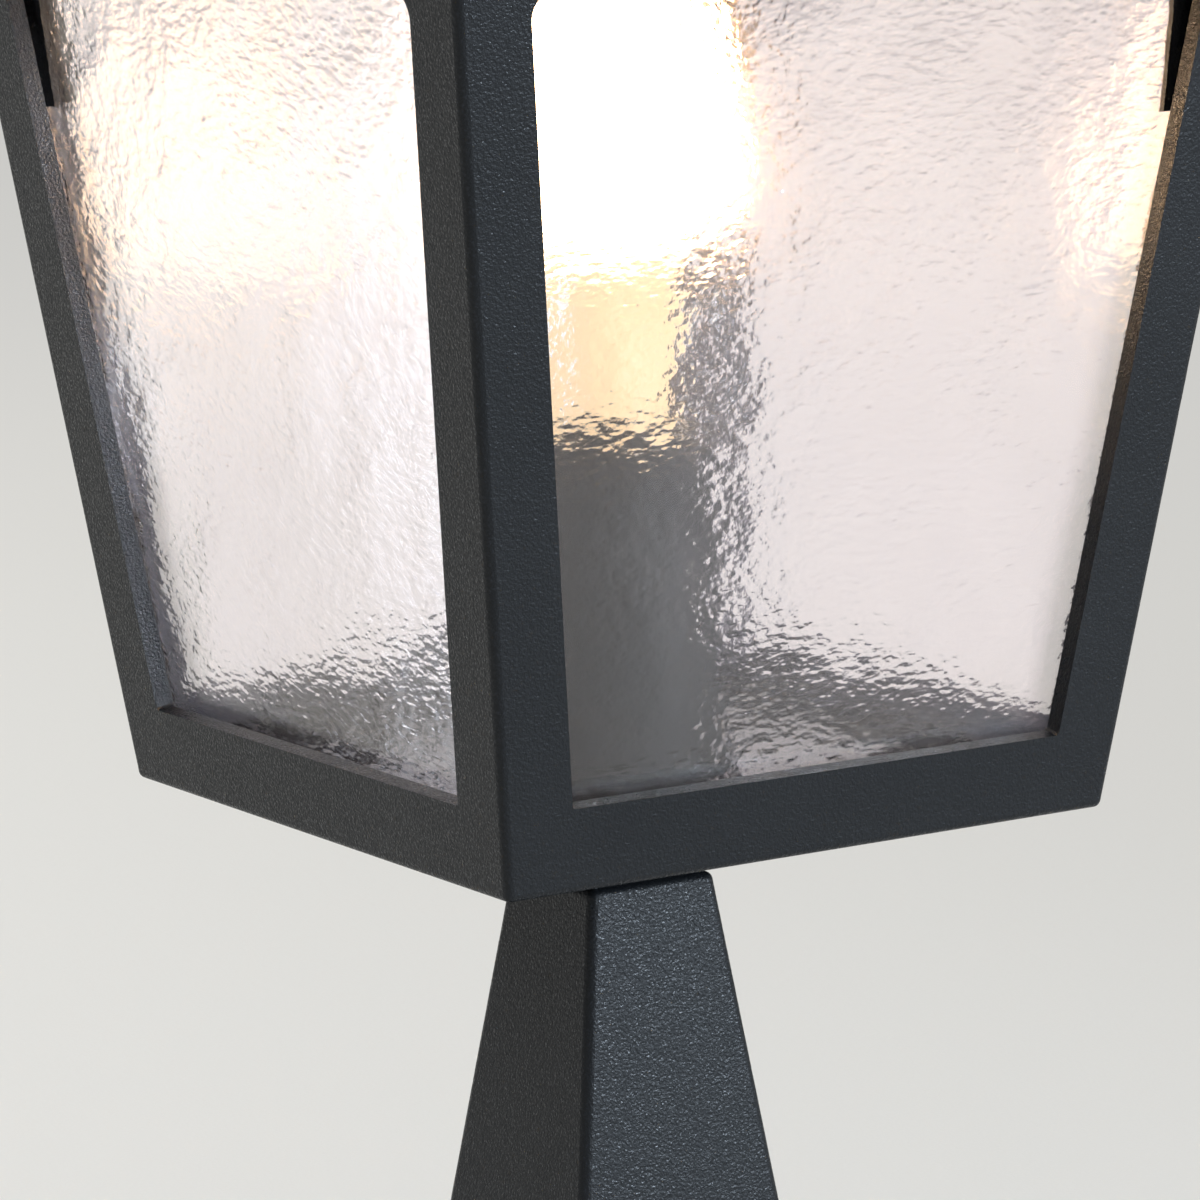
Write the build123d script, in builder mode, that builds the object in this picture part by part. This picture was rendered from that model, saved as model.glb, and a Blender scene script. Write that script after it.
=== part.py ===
"""A pedestal lantern: a four-sided glazed cage on a pyramid pedestal, under a hinged roof.

Millimetres, +Z up. The origin is the centre of the face that the gasket rests on.
The front is -Y, where the two thumb screws are, and the roof hinge is at the back.
"""

from build123d import *
from math import cos, hypot, sin
import os

os.makedirs("parts", exist_ok=True)

# ---------------------------------------------------------------- driving dimensions

# Foot and pedestal
gasket_thickness = 2.0
foot_half = 65.0
plinth_height = 8.0
cove_bottom_half = 58.0
cove_top_half = 42.0
cove_height = 12.0
cove_sag = 3.2
foot_bead_height = 4.0
pedestal_rise = 152.0
pedestal_top_half = 14.3
pedestal_slope = 0.140
pedestal_wall = 4.0
pedestal_top_plate = 6.0
pedestal_arris = 1.8
foot_corner = 2.0
foot_edge = 1.0
fixing_half_pitch = 54.0
fixing_hole_radius = 3.3
fixing_seat_radius = 6.6
fixing_seat_height = 6.0

# Base plate, gland and terminal block
base_plate_half = 49.0
base_plate_thickness = 2.0
base_plate_gap = 0.3
plate_screw_half_pitch = 42.0
plate_screw_radius = 1.5
plate_screw_length = 8.0
plate_screw_head_radius = 3.2
plate_screw_head = 1.6
gland_radius = 9.5
gland_bore_radius = 5.0
gland_flange_radius = 11.5
gland_flange = 4.0
gland_height = 24.0
gland_dome = 3.0
terminal_length = 30.0
terminal_width = 17.0
terminal_height = 16.0
terminal_gap = 0.5
terminal_pitch_x = 9.0
terminal_pitch_y = 8.0
terminal_well_radius = 2.6
terminal_well = 4.0
terminal_screw_radius = 2.0
terminal_screw_height = 2.5
terminal_slot = 0.7
earth_screw_radius = 1.9
earth_screw_length = 9.0
earth_washer_radius = 4.6
earth_washer = 1.0
earth_nut_radius = 4.0
earth_nut = 3.0

# Stem and collar
stem_radius = 5.0
stem_bore_radius = 3.5
nut_across_flats = 17.0
nut_height = 6.0
washer_thickness = 1.0
washer_radius = 9.5
collar_height = 15.0
collar_top_half = 20.0
collar_bottom_half = 12.8
collar_flange = 2.5
collar_step = 5.0
collar_lip = 2.0
collar_sag = 2.2
stem_end = 4.0
stem_in_cup = 6.0

# Cage
cage_half = 67.0
cage_height = 188.0
cage_slope = 0.1345
cage_wall = 3.6
cage_floor = 6.0
cage_flange = 3.0
floor_step_inset = 7.0
flange_lap = 8.0
floor_plate_clearance = 0.3
floor_screw_head_radius = 3.0
cage_arris = 1.6
stile_width = 14.6
bottom_rail = 15.7
window_spring_height = 158.0
window_rise = 13.5
window_corner = 5.0
window_foot_corner = 0.8
boss_inner_half = 70.5
boss_height = 8.5

# Screws into the cage's bosses
thread_gap = 0.1
screw_clearance = 0.4
screw_end_gap = 1.0
boss_screw_radius = 1.6
bracket_screw_half_pitch = 75.5
bracket_screw_head_radius = 3.0
bracket_screw_head = 2.2
bracket_screw_bite = 6.0
rail_screw_half_pitch = 82.5
rail_screw_head_radius = 3.9
rail_screw_bite = 7.5
sheet_corner = 2.0

# Glazing
seal_thickness = 0.8
pane_thickness = 3.0
pane_lap = 6.0
pane_top_gap = 1.5
pane_bottom_gap = 0.5
seal_width = 4.5
pane_bracket_thickness = 1.2
pane_bracket_edge = 70.7
pane_bracket_length = 47.5

# Lampholder and its sleeve
tray_half = 56.0
tray_thickness = 1.5
tray_rim = 4.0
sleeve_radius = 20.0
sleeve_wall = 1.4
sleeve_height = 64.2
sleeve_edge = 0.5
holder_radius = 17.6
holder_cup_height = 16.0
holder_cup_floor_radius = 11.0
holder_cup_bend = 10.0
holder_cup_wall = 2.0
holder_cup_floor = 3.0
holder_wire_radius = 2.0
holder_wire_pitch = 12.0
holder_contact_width = 5.0
holder_centre_contact = 10.0
holder_side_contact = 3.0
wire_radius = 1.3
wire_pitch = 3.2
wire_tail = 20.0
holder_bore_radius = 13.5
holder_bore_depth = 27.0
holder_rim_drop = 1.6

# Bulb
bulb_radius = 25.0
bulb_widest_rise = 46.0
bulb_height = 102.0
bulb_taper_radius = 20.0
bulb_taper_rise = 74.0
bulb_neck_radius = 12.6
bulb_wall = 1.0
bulb_cap_radius = 13.1
bulb_cap_length = 22.0
bulb_insulator_length = 2.5
bulb_contact_length = 1.2
bulb_contact_radius = 4.6
bulb_contact_edge = 0.8
bulb_insulator_radius = 6.5
bulb_neck_step = 0.8
bulb_neck_height = 4.0
bulb_cap_wall = 0.8
thread_depth = 0.45
thread_pitch = 4.0
thread_groove = 1.6
filament_foot_radius = 8.0
filament_stem_radius = 3.0
filament_disc_radius = 9.0
filament_disc = 1.0
filament_foot_gap = 2.0
filament_bottom = 24.0
filament_circle = 7.5
filament_radius = 0.9
filament_length = 32.0
contact_gap = 0.3

# Top rail, roof seal and hinge
rail_half = 98.0
rail_thickness = 8.0
rail_opening_half = 70.0
upstand_half = 91.0
upstand_wall = 3.0
upstand_height = 11.0
upstand_gap = 0.5
roof_seal_thickness = 2.5
roof_seal_width = 5.5
rail_corner = 2.5
rail_chamfer = 2.0
seal_gap = 0.3
hinge_back_offset = 12.0
hinge_drop = 1.0
hinge_knuckle_radius = 5.5
hinge_pin_radius = 2.5
hinge_inner_half = 23.5
hinge_outer_half = 36.0
hinge_side_gap = 0.5
hinge_lug_drop = 0.2
hinge_lug_root = 1.0
hinge_pin_end = 1.5
hinge_pin_head = 1.4
running_clearance = 0.05

# Roof, vent cap and finial
roof_half = 101.0
roof_skirt = 8.0
roof_skirt_wall = 6.5
roof_eave_setback = 3.0
roof_rise = 60.0
roof_crown_half = 26.0
roof_crown_height = 6.0
roof_sag = 8.0
roof_wall = 4.0
roof_ledge = 4.5
roof_hip = 2.0
reflector_thickness = 1.5
reflector_gap = 0.4
reflector_vent_radius = 4.0
reflector_vent_circle = 40.0
rivet_radius = 1.5
rivet_bite = 2.5
crown_vent_radius = 4.5
crown_vent_circle = 15.0
vent_gap = 7.0
vent_leg = 6.0
vent_cap_half = 34.0
vent_cap_edge = 3.0
vent_cap_rise = 20.0
vent_cap_neck_half = 7.0
vent_cap_neck_height = 4.0
vent_cap_sag = 3.0
vent_cap_wall = 4.0
vent_cap_hollow = 11.0
finial_ball_radius = 9.5
finial_base_radius = 8.0
finial_neck_radius = 5.0
finial_spike = 20.0
finial_stud_radius = 3.0
finial_stud_bite = 9.0
finial_stud_tail = 8.0
finial_nut_radius = 5.0
finial_nut_height = 5.0
finial_base = 2.5
finial_rise = 6.5
finial_tip_radius = 0.6

# Thumb screws
thumb_spacing = 110.0
thumb_radius = 6.5
thumb_length = 8.0
thumb_shank_radius = 2.0
thumb_tip_gap = 0.4
thumb_face_gap = 0.6
thumb_flutes = 20
thumb_flute_radius = 0.75
thumb_flute_offset = 0.35

# ---------------------------------------------------------------- heights

foot_bottom = gasket_thickness
foot_top = foot_bottom + plinth_height + cove_height + foot_bead_height
pedestal_top = foot_top + pedestal_rise
cage_bottom = pedestal_top + collar_height
floor_top = cage_bottom + cage_floor
cage_top = cage_bottom + cage_height
rail_top = cage_top + rail_thickness
upstand_top = rail_top + upstand_height
roof_bottom = rail_top + roof_seal_thickness + seal_gap
roof_eave = roof_bottom + roof_skirt + roof_eave_setback
crown_bottom = roof_eave + roof_rise
crown_top = crown_bottom + roof_crown_height
cap_bottom = crown_top + vent_gap
cap_top = cap_bottom + vent_cap_edge + vent_cap_rise + vent_cap_neck_height
tray_top = floor_top + tray_thickness
sleeve_top = tray_top + sleeve_height
hinge_y = rail_half + hinge_back_offset
hinge_z = rail_top - hinge_drop


def cage_half_at(z):
    """Half the outer width of the cage at a height."""
    return cage_half + cage_slope * (z - cage_bottom)


def pedestal_half_at(z):
    """Half the outer width of the pyramid at a height."""
    return pedestal_top_half + pedestal_slope * (pedestal_top - z)


# ---------------------------------------------------------------- shared shapes


def square_frustum(half_low, half_high, z_low, z_high):
    """A solid whose square section changes evenly from one height to the other."""
    with BuildPart() as block:
        with BuildSketch(Plane.XY.offset(z_low)):
            Rectangle(2 * half_low, 2 * half_low)
        with BuildSketch(Plane.XY.offset(z_high)):
            Rectangle(2 * half_high, 2 * half_high)
        loft()
    return block.part


def cage_offset(depth, z_low, z_high):
    """The cage's outer shape, moved inwards by a depth measured square to its faces."""
    shrink = depth * hypot(1, cage_slope)
    low = cage_half_at(z_low) - shrink
    high = cage_half_at(z_high) - shrink
    return square_frustum(low, high, z_low, z_high)


def mitred(outline, half):
    """A four-sided moulding: one half-outline of (half width, height), mitred at the corners.

    A third value in a point is the sag of the hollow curve that leads to it.
    """

    def draw():
        for start, end in zip(outline, outline[1:]):
            if len(end) == 3:
                run = hypot(end[0] - start[0], end[1] - start[1])
                across = (end[1] - start[1]) / run
                along = (end[0] - start[0]) / run
                middle = (
                    (start[0] + end[0]) / 2 - abs(across) * end[2],
                    (start[1] + end[1]) / 2 - abs(along) * end[2],
                )
                ThreePointArc(start[:2], middle, end[:2])
            else:
                Line(start[:2], end[:2])
        Line(outline[-1][:2], outline[0][:2])

    with BuildPart() as block:
        with BuildSketch(Plane.XZ):
            with BuildLine():
                draw()
            make_face()
            mirror(about=Plane.YZ)
        extrude(amount=half, both=True)
        with BuildSketch(Plane.YZ):
            with BuildLine():
                draw()
            make_face()
            mirror(about=Plane.YZ)
        extrude(amount=half, both=True, mode=Mode.INTERSECT)
    return block.part


def square_ring(outer_half, inner_half, z_low, height):
    """A flat square ring."""
    with BuildPart() as block:
        with BuildSketch(Plane.XY.offset(z_low)):
            Rectangle(2 * outer_half, 2 * outer_half)
            Rectangle(2 * inner_half, 2 * inner_half, mode=Mode.SUBTRACT)
        extrude(amount=height)
    return block.part


def on_a_corner(edge):
    """Whether an edge lies on one of the four mitres, away from the axis."""
    middle = edge.center()
    return abs(abs(middle.X) - abs(middle.Y)) < 0.01 and abs(middle.X) > 1


def finish(builder, name):
    """Names a finished piece and writes it."""
    builder.part.label = name
    export_step(builder.part, f"parts/{name}.step")


# ---------------------------------------------------------------- foot and pedestal

plinth_top = foot_bottom + plinth_height
cove_outline = [
    (0, plinth_top),
    (cove_bottom_half, plinth_top),
    (cove_top_half, plinth_top + cove_height, cove_sag),
    (0, plinth_top + cove_height),
]
cove_block = mitred(cove_outline, cove_bottom_half)
pyramid = square_frustum(pedestal_half_at(foot_top), pedestal_top_half, foot_top, pedestal_top)
cavity_top = pedestal_top - pedestal_top_plate
cavity = square_frustum(
    pedestal_half_at(foot_top) - pedestal_wall,
    pedestal_half_at(cavity_top) - pedestal_wall,
    foot_top,
    cavity_top,
)
foot_cavity_half = pedestal_half_at(foot_top) - pedestal_wall
recess_half = base_plate_half + base_plate_gap
terminal_offset = foot_cavity_half - terminal_width / 2 - terminal_gap
earth_screw_offset = foot_cavity_half - earth_washer_radius - terminal_gap

with BuildPart() as moulded_foot:
    add(cove_block)
    fillet(moulded_foot.edges().filter_by(on_a_corner), foot_corner)
    with BuildSketch(Plane.XY.offset(foot_bottom)):
        RectangleRounded(2 * foot_half, 2 * foot_half, foot_corner)
    extrude(amount=plinth_height)
    with BuildSketch(Plane.XY.offset(plinth_top + cove_height)):
        RectangleRounded(2 * cove_top_half, 2 * cove_top_half, foot_corner)
    extrude(amount=foot_bead_height)
    fillet(moulded_foot.faces().sort_by(Axis.Z)[-1].edges(), foot_edge)

with BuildPart() as pedestal:
    add(pyramid)
    top_edges = pedestal.faces().sort_by(Axis.Z)[-1].edges()
    fillet(pedestal.edges().filter_by(on_a_corner) + top_edges, pedestal_arris)
    add(moulded_foot.part)
    add(cavity, mode=Mode.SUBTRACT)
    with BuildSketch(Plane.XY.offset(foot_bottom)):
        Rectangle(2 * foot_cavity_half, 2 * foot_cavity_half)
    extrude(amount=foot_top - foot_bottom, mode=Mode.SUBTRACT)
    with BuildSketch(Plane.XY.offset(foot_bottom)):
        Rectangle(2 * recess_half, 2 * recess_half)
    extrude(amount=base_plate_thickness, mode=Mode.SUBTRACT)
    with BuildSketch(Plane.XY.offset(foot_bottom)):
        with GridLocations(2 * fixing_half_pitch, 2 * fixing_half_pitch, 2, 2):
            Circle(fixing_hole_radius)
    extrude(amount=foot_top - foot_bottom, mode=Mode.SUBTRACT)
    with BuildSketch(Plane.XY.offset(foot_bottom + fixing_seat_height)):
        with GridLocations(2 * fixing_half_pitch, 2 * fixing_half_pitch, 2, 2):
            Circle(fixing_seat_radius)
    extrude(amount=foot_top - foot_bottom, mode=Mode.SUBTRACT)
    with BuildSketch(Plane.XY.offset(foot_bottom)):
        with GridLocations(2 * plate_screw_half_pitch, 2 * plate_screw_half_pitch, 2, 2):
            Circle(plate_screw_radius + thread_gap)
    extrude(amount=plate_screw_length + screw_end_gap, mode=Mode.SUBTRACT)
    with BuildSketch(Plane.XY.offset(cavity_top)):
        Circle(stem_radius + running_clearance)
    extrude(amount=pedestal_top_plate, mode=Mode.SUBTRACT)
finish(pedestal, "pedestal")

with BuildPart() as base_gasket:
    with BuildSketch():
        RectangleRounded(2 * foot_half, 2 * foot_half, foot_corner)
        Rectangle(2 * foot_cavity_half, 2 * foot_cavity_half, mode=Mode.SUBTRACT)
        with GridLocations(2 * fixing_half_pitch, 2 * fixing_half_pitch, 2, 2):
            Circle(fixing_hole_radius, mode=Mode.SUBTRACT)
        with GridLocations(2 * plate_screw_half_pitch, 2 * plate_screw_half_pitch, 2, 2):
            Circle(plate_screw_head_radius + screw_clearance, mode=Mode.SUBTRACT)
    extrude(amount=gasket_thickness)
finish(base_gasket, "base_gasket")

with BuildPart() as base_plate:
    with BuildSketch(Plane.XY.offset(foot_bottom)):
        RectangleRounded(2 * base_plate_half, 2 * base_plate_half, sheet_corner)
        Circle(gland_radius + running_clearance, mode=Mode.SUBTRACT)
        with GridLocations(2 * plate_screw_half_pitch, 2 * plate_screw_half_pitch, 2, 2):
            Circle(plate_screw_radius + screw_clearance, mode=Mode.SUBTRACT)
    extrude(amount=base_plate_thickness)
finish(base_plate, "base_plate")

with BuildPart() as base_plate_screws:
    with BuildSketch(Plane.XY.offset(foot_bottom - plate_screw_head)):
        with GridLocations(2 * plate_screw_half_pitch, 2 * plate_screw_half_pitch, 2, 2):
            Circle(plate_screw_head_radius)
    extrude(amount=plate_screw_head)
    with BuildSketch(Plane.XY.offset(foot_bottom)):
        with GridLocations(2 * plate_screw_half_pitch, 2 * plate_screw_half_pitch, 2, 2):
            Circle(plate_screw_radius)
    extrude(amount=plate_screw_length)
finish(base_plate_screws, "base_plate_screws")

# The gland hangs in the base plate with its flange above it, clear of what the foot stands on.
plate_top = foot_bottom + base_plate_thickness
with BuildPart() as cable_gland:
    with BuildSketch(Plane.XY.offset(foot_bottom)):
        Circle(gland_radius)
    extrude(amount=base_plate_thickness + gland_height)
    with BuildSketch(Plane.XY.offset(plate_top)):
        RegularPolygon(gland_flange_radius, 6)
    extrude(amount=gland_flange)
    fillet(cable_gland.faces().sort_by(Axis.Z)[-1].edges(), gland_dome)
    with BuildSketch(Plane.XY.offset(foot_bottom)):
        Circle(gland_bore_radius)
    extrude(amount=base_plate_thickness + gland_height, mode=Mode.SUBTRACT)
finish(cable_gland, "cable_gland")

with BuildPart() as terminal_block:
    with BuildSketch(Plane.XY.offset(plate_top)):
        with Locations((0, terminal_offset)):
            RectangleRounded(terminal_length, terminal_width, sheet_corner)
    extrude(amount=terminal_height)
    with BuildSketch(Plane.XY.offset(plate_top + terminal_height)):
        with Locations((0, terminal_offset)):
            with GridLocations(terminal_pitch_x, terminal_pitch_y, 3, 2):
                Circle(terminal_well_radius)
    extrude(amount=-terminal_well, mode=Mode.SUBTRACT)
finish(terminal_block, "terminal_block")

well_floor = plate_top + terminal_height - terminal_well
with BuildPart() as terminal_screws:
    with BuildSketch(Plane.XY.offset(well_floor)):
        with Locations((0, terminal_offset)):
            with GridLocations(terminal_pitch_x, terminal_pitch_y, 3, 2):
                Circle(terminal_screw_radius)
    extrude(amount=terminal_screw_height)
    with BuildSketch(Plane.XY.offset(well_floor + terminal_screw_height)):
        with Locations((0, terminal_offset)):
            with GridLocations(terminal_pitch_x, terminal_pitch_y, 3, 2):
                Rectangle(2 * terminal_screw_radius, terminal_slot)
    extrude(amount=-terminal_slot, mode=Mode.SUBTRACT)
finish(terminal_screws, "terminal_screws")

with BuildPart() as earth_screw:
    with BuildSketch(Plane.XY.offset(plate_top)):
        with Locations((-earth_screw_offset, terminal_offset)):
            Circle(earth_screw_radius)
    extrude(amount=earth_screw_length)
    with BuildSketch(Plane.XY.offset(plate_top)):
        with Locations((-earth_screw_offset, terminal_offset)):
            Circle(earth_washer_radius)
    extrude(amount=earth_washer)
    with BuildSketch(Plane.XY.offset(plate_top + earth_washer)):
        with Locations((-earth_screw_offset, terminal_offset)):
            RegularPolygon(earth_nut_radius, 6)
    extrude(amount=earth_nut)
finish(earth_screw, "earth_screw")

# ---------------------------------------------------------------- collar and stem

collar_outline = [
    (0, pedestal_top),
    (collar_bottom_half, pedestal_top),
    (collar_bottom_half, pedestal_top + collar_step),
    (collar_top_half - collar_lip, cage_bottom - collar_flange, collar_sag),
    (collar_top_half, cage_bottom - collar_flange),
    (collar_top_half, cage_bottom),
    (0, cage_bottom),
]
collar_block = mitred(collar_outline, collar_top_half)

with BuildPart() as neck_collar:
    add(collar_block)
    with BuildSketch(Plane.XY.offset(pedestal_top)):
        Circle(stem_radius + running_clearance)
    extrude(amount=collar_height, mode=Mode.SUBTRACT)
finish(neck_collar, "neck_collar")

lower_nut_top = cavity_top - washer_thickness
upper_washer_bottom = tray_top
upper_nut_bottom = tray_top + washer_thickness
stem_bottom = lower_nut_top - nut_height - stem_end
cup_bottom = upper_nut_bottom + nut_height
stem_top = cup_bottom + stem_in_cup

with BuildPart() as stem_tube:
    with BuildSketch(Plane.XY.offset(stem_bottom)):
        Circle(stem_radius)
        Circle(stem_bore_radius, mode=Mode.SUBTRACT)
    extrude(amount=stem_top - stem_bottom)
finish(stem_tube, "stem_tube")

with BuildPart() as stem_nuts:
    for nut_bottom in (lower_nut_top - nut_height, upper_nut_bottom):
        with BuildSketch(Plane.XY.offset(nut_bottom)):
            RegularPolygon(nut_across_flats / 2, 6, major_radius=False)
            Circle(stem_radius + running_clearance, mode=Mode.SUBTRACT)
        extrude(amount=nut_height)
finish(stem_nuts, "stem_nuts")

with BuildPart() as stem_washers:
    for washer_bottom in (lower_nut_top, upper_washer_bottom):
        with BuildSketch(Plane.XY.offset(washer_bottom)):
            Circle(washer_radius)
            Circle(stem_radius + running_clearance, mode=Mode.SUBTRACT)
        extrude(amount=washer_thickness)
finish(stem_washers, "stem_washers")

# ---------------------------------------------------------------- cage

slope_length = hypot(1, cage_slope)
face_plane = Plane(
    origin=(0, -cage_half, cage_bottom),
    x_dir=(1, 0, 0),
    z_dir=(0, -1, -cage_slope),
)


def face_point(half_width, height):
    """A point in the front face's own plane, from its half width and its real height."""
    return (half_width, height * slope_length)


def window_half_at(height):
    """Half the window's width at a height above the cage's bottom."""
    return cage_half + cage_slope * height - stile_width


with BuildPart() as window:
    with BuildSketch(face_plane) as window_sketch:
        with BuildLine():
            foot_left = face_point(-window_half_at(bottom_rail), bottom_rail)
            foot_right = face_point(window_half_at(bottom_rail), bottom_rail)
            spring_left = face_point(-window_half_at(window_spring_height), window_spring_height)
            spring_right = face_point(window_half_at(window_spring_height), window_spring_height)
            crown = face_point(0, window_spring_height + window_rise)
            Line(foot_left, foot_right)
            Line(foot_right, spring_right)
            ThreePointArc(spring_right, crown, spring_left)
            Line(spring_left, foot_left)
        make_face()
        fillet(window_sketch.vertices().group_by(Axis.Y)[-1], window_corner)
        fillet(window_sketch.vertices().group_by(Axis.Y)[0], window_foot_corner)
    extrude(amount=2 * cage_wall, both=True)

cage_outer = cage_offset(0, cage_bottom, cage_top)
cage_inner = cage_offset(cage_wall, floor_top, cage_top)
boss_bottom = cage_top - boss_height
flange_top = cage_bottom + cage_flange
floor_step_half = cage_half - floor_step_inset
flange_opening_half = floor_step_half - flange_lap
floor_screw_half_pitch = floor_step_half - flange_lap / 2

with BuildPart() as boss_blocks:
    with BuildSketch(Plane.XY.offset(boss_bottom)):
        Rectangle(4 * cage_half, 4 * cage_half)
        Rectangle(2 * boss_inner_half, 4 * cage_half, mode=Mode.SUBTRACT)
        Rectangle(4 * cage_half, 2 * boss_inner_half, mode=Mode.SUBTRACT)
    extrude(amount=boss_height)
    add(cage_offset(cage_wall / 2, cage_bottom, cage_top), mode=Mode.INTERSECT)

with BuildPart() as cage:
    add(cage_outer)
    foot_edges = cage.faces().sort_by(Axis.Z)[0].edges()
    fillet(cage.edges().filter_by(on_a_corner) + foot_edges, cage_arris)
    add(cage_inner, mode=Mode.SUBTRACT)
    for turn in range(4):
        add(window.part.rotate(Axis.Z, 90 * turn), mode=Mode.SUBTRACT)
    add(boss_blocks.part)
    with BuildSketch(Plane.XY.offset(boss_bottom)):
        for half_pitch in (bracket_screw_half_pitch, rail_screw_half_pitch):
            with GridLocations(2 * half_pitch, 2 * half_pitch, 2, 2):
                Circle(boss_screw_radius + thread_gap)
    extrude(amount=boss_height, mode=Mode.SUBTRACT)
    with BuildSketch(Plane.XY.offset(cage_bottom)):
        Rectangle(2 * flange_opening_half, 2 * flange_opening_half)
        with GridLocations(2 * floor_screw_half_pitch, 2 * floor_screw_half_pitch, 2, 2):
            Circle(boss_screw_radius + thread_gap)
    extrude(amount=cage_floor, mode=Mode.SUBTRACT)
    with BuildSketch(Plane.XY.offset(flange_top)):
        Rectangle(2 * floor_step_half, 2 * floor_step_half)
    extrude(amount=cage_floor - cage_flange, mode=Mode.SUBTRACT)
finish(cage, "cage")

# The floor plate drops into the cage's foot, on a flange that it is screwed down to. Its top is flush with
# the cage's own floor rim, and its underside with the cage's foot, where it stands on the collar.
plug_half = flange_opening_half - floor_plate_clearance
step_half = floor_step_half - floor_plate_clearance
with BuildPart() as floor_plate:
    with BuildSketch(Plane.XY.offset(cage_bottom)):
        Rectangle(2 * plug_half, 2 * plug_half)
    extrude(amount=cage_flange)
    with BuildSketch(Plane.XY.offset(flange_top)):
        Rectangle(2 * step_half, 2 * step_half)
    extrude(amount=cage_floor - cage_flange)
    with Locations((0, 0, floor_top)):
        Hole(stem_radius + running_clearance)
        with GridLocations(2 * floor_screw_half_pitch, 2 * floor_screw_half_pitch, 2, 2):
            CounterSinkHole(boss_screw_radius + screw_clearance, floor_screw_head_radius + thread_gap)
finish(floor_plate, "floor_plate")

floor_screw_head = floor_screw_head_radius - boss_screw_radius
with BuildPart() as floor_plate_screws:
    with GridLocations(2 * floor_screw_half_pitch, 2 * floor_screw_half_pitch, 2, 2):
        with Locations((0, 0, floor_top - floor_screw_head / 2)):
            Cone(boss_screw_radius, floor_screw_head_radius, floor_screw_head)
        with Locations((0, 0, floor_top - floor_screw_head)):
            Cylinder(
                boss_screw_radius,
                cage_floor - floor_screw_head,
                align=(Align.CENTER, Align.CENTER, Align.MAX),
            )
finish(floor_plate_screws, "floor_plate_screws")

# ---------------------------------------------------------------- glazing

pane_depth = cage_wall + seal_thickness
pane_bottom = cage_floor + pane_bottom_gap
pane_top = cage_height - boss_height - pane_top_gap


def glazing_plate(depth, thickness, inset):
    """A flat plate behind the front window, a lap larger than it, less an inset all round."""
    half_low = window_half_at(pane_bottom) + pane_lap - inset
    half_high = window_half_at(pane_top) + pane_lap - inset
    with BuildPart() as plate:
        with BuildSketch(face_plane.offset(-depth)):
            with BuildLine():
                Polyline(
                    face_point(-half_low, pane_bottom + inset),
                    face_point(half_low, pane_bottom + inset),
                    face_point(half_high, pane_top - inset),
                    face_point(-half_high, pane_top - inset),
                    close=True,
                )
            make_face()
        extrude(amount=-thickness)
    return plate.part


front_pane = glazing_plate(pane_depth, pane_thickness, 0)
for turn, side in enumerate(("front", "right", "back", "left")):
    with BuildPart() as pane:
        add(front_pane.rotate(Axis.Z, 90 * turn))
    finish(pane, f"pane_{side}")

front_seal = glazing_plate(cage_wall, seal_thickness, 0) - glazing_plate(
    cage_wall, seal_thickness, seal_width
)
with BuildPart() as pane_seals:
    for turn in range(4):
        add(front_seal.rotate(Axis.Z, 90 * turn))
finish(pane_seals, "pane_seals")

# Each bracket is an angle that holds two panes' upper corners, screwed up into a cage boss.
bracket_depth = pane_depth + pane_thickness
bracket_top = boss_bottom
bracket_bottom = bracket_top - pane_bracket_length
bracket_outer = cage_offset(bracket_depth, bracket_bottom, bracket_top)
bracket_inner = cage_offset(
    bracket_depth + pane_bracket_thickness, bracket_bottom, bracket_top - pane_bracket_thickness
)
with BuildPart() as pane_brackets:
    add(bracket_outer)
    add(bracket_inner, mode=Mode.SUBTRACT)
    with BuildSketch(Plane.XY.offset(bracket_bottom)):
        Rectangle(4 * cage_half, 4 * cage_half)
        Rectangle(2 * pane_bracket_edge, 4 * cage_half, mode=Mode.SUBTRACT)
        Rectangle(4 * cage_half, 2 * pane_bracket_edge, mode=Mode.SUBTRACT)
    extrude(amount=pane_bracket_length, mode=Mode.INTERSECT)
    with BuildSketch(Plane.XY.offset(bracket_bottom)):
        with GridLocations(2 * bracket_screw_half_pitch, 2 * bracket_screw_half_pitch, 2, 2):
            Circle(boss_screw_radius + screw_clearance)
    extrude(amount=pane_bracket_length, mode=Mode.SUBTRACT)
finish(pane_brackets, "pane_brackets")

bracket_underside = bracket_top - pane_bracket_thickness
with BuildPart() as pane_bracket_screws:
    with BuildSketch(Plane.XY.offset(bracket_underside - bracket_screw_head)):
        with GridLocations(2 * bracket_screw_half_pitch, 2 * bracket_screw_half_pitch, 2, 2):
            Circle(bracket_screw_head_radius)
    extrude(amount=bracket_screw_head)
    with BuildSketch(Plane.XY.offset(bracket_underside)):
        with GridLocations(2 * bracket_screw_half_pitch, 2 * bracket_screw_half_pitch, 2, 2):
            Circle(boss_screw_radius)
    extrude(amount=pane_bracket_thickness + bracket_screw_bite)
finish(pane_bracket_screws, "pane_bracket_screws")

# ---------------------------------------------------------------- floor tray, sleeve and lampholder

tray_inner_half = tray_half - tray_thickness
with BuildPart() as floor_tray:
    with BuildSketch(Plane.XY.offset(floor_top)):
        RectangleRounded(2 * tray_half, 2 * tray_half, sheet_corner + tray_thickness)
    extrude(amount=tray_rim)
    with BuildSketch(Plane.XY.offset(tray_top)):
        RectangleRounded(2 * tray_inner_half, 2 * tray_inner_half, sheet_corner)
    extrude(amount=tray_rim, mode=Mode.SUBTRACT)
    with BuildSketch(Plane.XY.offset(floor_top)):
        Circle(stem_radius + running_clearance)
    extrude(amount=tray_thickness, mode=Mode.SUBTRACT)
finish(floor_tray, "floor_tray")

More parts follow.
